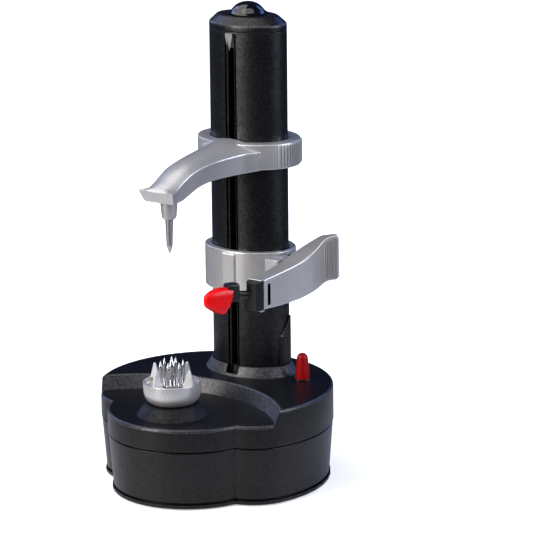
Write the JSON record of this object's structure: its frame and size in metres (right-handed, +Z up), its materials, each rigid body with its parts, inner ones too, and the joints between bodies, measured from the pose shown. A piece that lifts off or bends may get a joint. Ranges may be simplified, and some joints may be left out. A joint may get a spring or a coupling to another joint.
{
  "type": "electric potato peeler",
  "caption": "Upright electric potato peeler with a geared base, a turning food cup, a tower, a sliding top arm and a sprung blade lever.",
  "frame": {"origin": "middle of the footprint, on the surface that the feet stand on", "axes": "+Z up along the tower, -Y to the front (the food cup's side), +X to the right of someone facing the front from behind the tower, on the blade lever's and start button's side"},
  "size_m": [0.1444, 0.149, 0.2903],
  "materials": {
    "textured_black_plastic": "fine textured black ABS, satin",
    "gloss_black_plastic": "polished black ABS",
    "natural_nylon": "natural moulded nylon",
    "silver_painted_plastic": "silver painted ABS, satin",
    "stainless_steel": "plain bright steel",
    "brass": "turned brass",
    "red_plastic": "red ABS",
    "rubber": "black rubber",
    "cell_wrap": "plain unprinted cell sleeve over steel"
  },
  "bodies": {
    "base": {"base_plate": "textured_black_plastic", "battery_door": "textured_black_plastic", "rubber_foot_1": "rubber", "rubber_foot_2": "rubber", "rubber_foot_3": "rubber", "rubber_foot_4": "rubber", "battery_box": "natural_nylon", "battery_cell_1": "cell_wrap", "battery_cell_2": "cell_wrap", "battery_cell_3": "cell_wrap", "battery_cell_4": "cell_wrap", "battery_contact_1": "stainless_steel", "battery_contact_2": "stainless_steel", "battery_contact_3": "stainless_steel", "base_tray": "textured_black_plastic", "base_cover": "textured_black_plastic", "adaptor_inlet": "textured_black_plastic", "gear_chassis": "stainless_steel", "motor": "stainless_steel", "idler_axle": "stainless_steel", "second_axle": "stainless_steel", "first_axle": "stainless_steel", "spindle_lower_bush": "brass", "spindle_upper_bush": "brass", "screw_lower_bush": "brass", "screw_top_bush": "brass", "micro_switch": "textured_black_plastic", "button_bezel": "textured_black_plastic", "button_spring": "stainless_steel", "tower_column": "textured_black_plastic", "rail_screw": "stainless_steel", "tower_cap": "textured_black_plastic", "cap_dome": "gloss_black_plastic"},
    "spindle": {"spindle_shaft": "stainless_steel", "spindle_gear": "natural_nylon", "food_cup": "silver_painted_plastic", "prong_plate": "stainless_steel"},
    "screw": {"lead_screw": "stainless_steel", "screw_gear": "natural_nylon"},
    "idler": {"idler_gear": "natural_nylon"},
    "second_gear": {"second_reduction_gear": "natural_nylon"},
    "first_gear": {"first_reduction_gear": "natural_nylon"},
    "rotor": {"motor_pinion": "brass"},
    "upper_arm": {"top_arm": "silver_painted_plastic", "brake_shoe": "rubber", "brake_spring": "stainless_steel", "pin_holder": "silver_painted_plastic"},
    "centre_pin": {"top_pin": "stainless_steel"},
    "carriage": {"carriage_ring": "silver_painted_plastic", "half_nut": "brass", "pivot_pin": "stainless_steel", "lever_spring": "stainless_steel"},
    "lever": {"blade_lever": "silver_painted_plastic", "blade_block": "textured_black_plastic"},
    "blade_head": {"blade_carrier": "textured_black_plastic", "blade_guard": "red_plastic", "blade": "stainless_steel"},
    "button": {"start_button": "red_plastic"}
  },
  "joints": [
    {"name": "spindle_turn", "type": "hinge", "parent": "base", "child": "spindle", "pos_m": [0, -0.04165, 0.0584], "axis": [0, 0, 1], "continuous": true},
    {"name": "screw_turn", "type": "hinge", "parent": "base", "child": "screw", "pos_m": [0, 0.04035, 0.0495], "axis": [0, 0, 1], "continuous": true},
    {"name": "idler_turn", "type": "hinge", "parent": "base", "child": "idler", "pos_m": [0, -0.00065, 0.0427], "axis": [0, 0, 1], "continuous": true},
    {"name": "second_gear_turn", "type": "hinge", "parent": "base", "child": "second_gear", "pos_m": [0.02568, -0.01, 0.0389], "axis": [0, 0, 1], "continuous": true},
    {"name": "first_gear_turn", "type": "hinge", "parent": "base", "child": "first_gear", "pos_m": [0.03134, 0.01111, 0.0351], "axis": [0, 0, 1], "continuous": true},
    {"name": "motor_turn", "type": "hinge", "parent": "base", "child": "rotor", "pos_m": [0.04387, -0.00679, 0.0351], "axis": [0, 0, 1], "continuous": true},
    {"name": "arm_slide", "type": "slide", "parent": "base", "child": "upper_arm", "axis": [0, 0, 1], "range_m": [-0.045, 0.06]},
    {"name": "pin_turn", "type": "hinge", "parent": "upper_arm", "child": "centre_pin", "pos_m": [0, -0.04165, 0.1713], "axis": [0, 0, 1], "continuous": true},
    {"name": "carriage_slide", "type": "slide", "parent": "base", "child": "carriage", "axis": [0, 0, 1], "range_m": [-0.032, 0.048]},
    {"name": "lever_swing", "type": "hinge", "parent": "carriage", "child": "lever", "pos_m": [0.0385, 0.03085, 0.121], "axis": [0, 0, 1], "range_deg": [-10, 35], "stiffness_Nm_per_rad": 0.15},
    {"name": "blade_swivel", "type": "hinge", "parent": "lever", "child": "blade_head", "pos_m": [0.03338, -0.01941, 0.12549], "axis": [-0.4669, -0.8782, 0.104], "range_deg": [-8, 8]},
    {"name": "button_press", "type": "slide", "parent": "base", "child": "button", "axis": [0, 0, -1], "range_m": [0, 0.0035], "stiffness_N_per_m": 400, "springref_m": -0.002, "deforming": ["button_spring"]}
  ],
  "couplings": [
    {"joint": "idler_turn", "follows": "spindle_turn", "ratio": -1},
    {"joint": "screw_turn", "follows": "spindle_turn", "ratio": 1},
    {"joint": "second_gear_turn", "follows": "spindle_turn", "ratio": 3},
    {"joint": "first_gear_turn", "follows": "spindle_turn", "ratio": -10.8},
    {"joint": "motor_turn", "follows": "spindle_turn", "ratio": 38.88}
  ]
}
